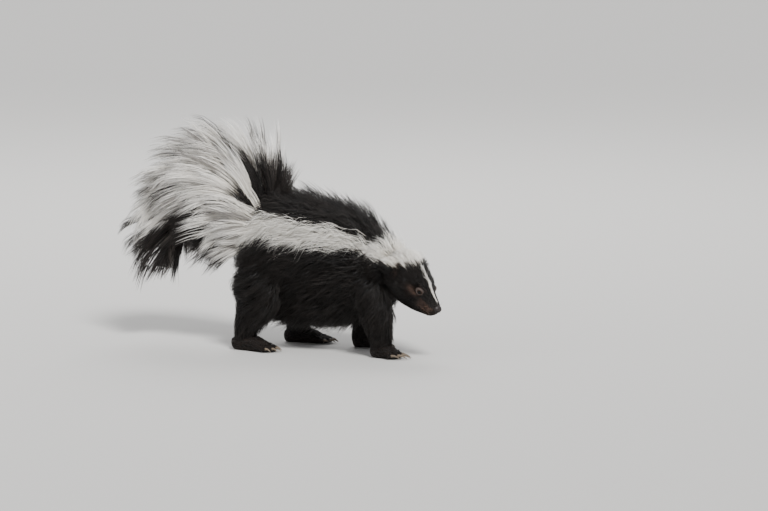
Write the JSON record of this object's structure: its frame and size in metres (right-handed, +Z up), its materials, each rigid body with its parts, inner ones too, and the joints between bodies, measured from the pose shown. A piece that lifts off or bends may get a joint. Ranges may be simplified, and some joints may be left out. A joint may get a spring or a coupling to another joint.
{
  "type": "striped skunk",
  "caption": "Life-size standing striped skunk with its head low and its long-haired tail arched up and back, a still model with soles flat on the floor.",
  "frame": {"origin": "on the floor, under the middle of the animal's box", "axes": "+X the way the body faces, from rump to chest; +Y the animal's left; +Z up"},
  "size_m": [0.4358, 0.1292, 0.2898],
  "materials": {
    "fur_black": "dense black coat with a slight brown sheen",
    "fur_white": "long creamy white hair mixed with grey and black",
    "nose_skin": "moist, finely grained bare skin",
    "eye": "glossy dark brown",
    "claw": "satin horn"
  },
  "bodies": {
    "root": {"torso": "fur_black", "head": "fur_black", "ear_left": "fur_black", "ear_right": "fur_black", "foreleg_left": "fur_black", "foreleg_right": "fur_black", "hindleg_left": "fur_black", "hindleg_right": "fur_black", "forepaw_left": "fur_black", "forepaw_right": "fur_black", "hindpaw_left": "fur_black", "hindpaw_right": "fur_black", "neck": "fur_white", "tail": "fur_white", "nose": "nose_skin", "eye_left": "eye", "eye_right": "eye", "claw_forepaw_left_1": "claw", "claw_forepaw_left_2": "claw", "claw_forepaw_left_3": "claw", "claw_forepaw_left_4": "claw", "claw_forepaw_left_5": "claw", "claw_forepaw_right_1": "claw", "claw_forepaw_right_2": "claw", "claw_forepaw_right_3": "claw", "claw_forepaw_right_4": "claw", "claw_forepaw_right_5": "claw", "claw_hindpaw_left_1": "claw", "claw_hindpaw_left_2": "claw", "claw_hindpaw_left_3": "claw", "claw_hindpaw_left_4": "claw", "claw_hindpaw_left_5": "claw", "claw_hindpaw_right_1": "claw", "claw_hindpaw_right_2": "claw", "claw_hindpaw_right_3": "claw", "claw_hindpaw_right_4": "claw", "claw_hindpaw_right_5": "claw"}
  },
  "joints": []
}
